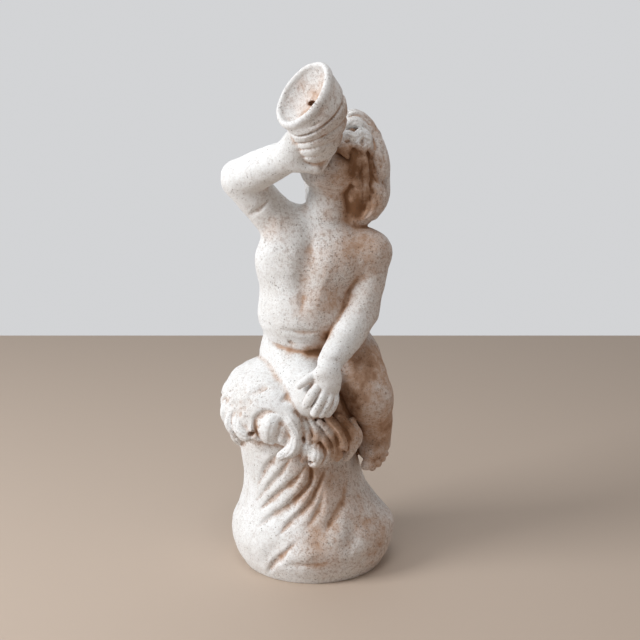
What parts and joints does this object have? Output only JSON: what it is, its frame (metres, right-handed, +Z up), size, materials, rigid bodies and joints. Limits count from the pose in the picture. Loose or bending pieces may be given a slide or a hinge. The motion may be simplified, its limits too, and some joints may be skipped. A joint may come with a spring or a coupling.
{
  "type": "cherub garden statue",
  "caption": "Cast-stone garden statue of a putto seated on a fleece over a gathered sack, head thrown back, blowing a conch shell.",
  "frame": {"origin": "middle of the flat underside, on the ground", "axes": "+Z up along the height; the figure faces -Y, and its left hand is towards +X"},
  "size_m": [0.2649, 0.257, 0.7602],
  "materials": {
    "stone": "matte weathered cast stone, finely pitted"
  },
  "bodies": {
    "root": {"cherub_statue": "stone"}
  },
  "joints": []
}
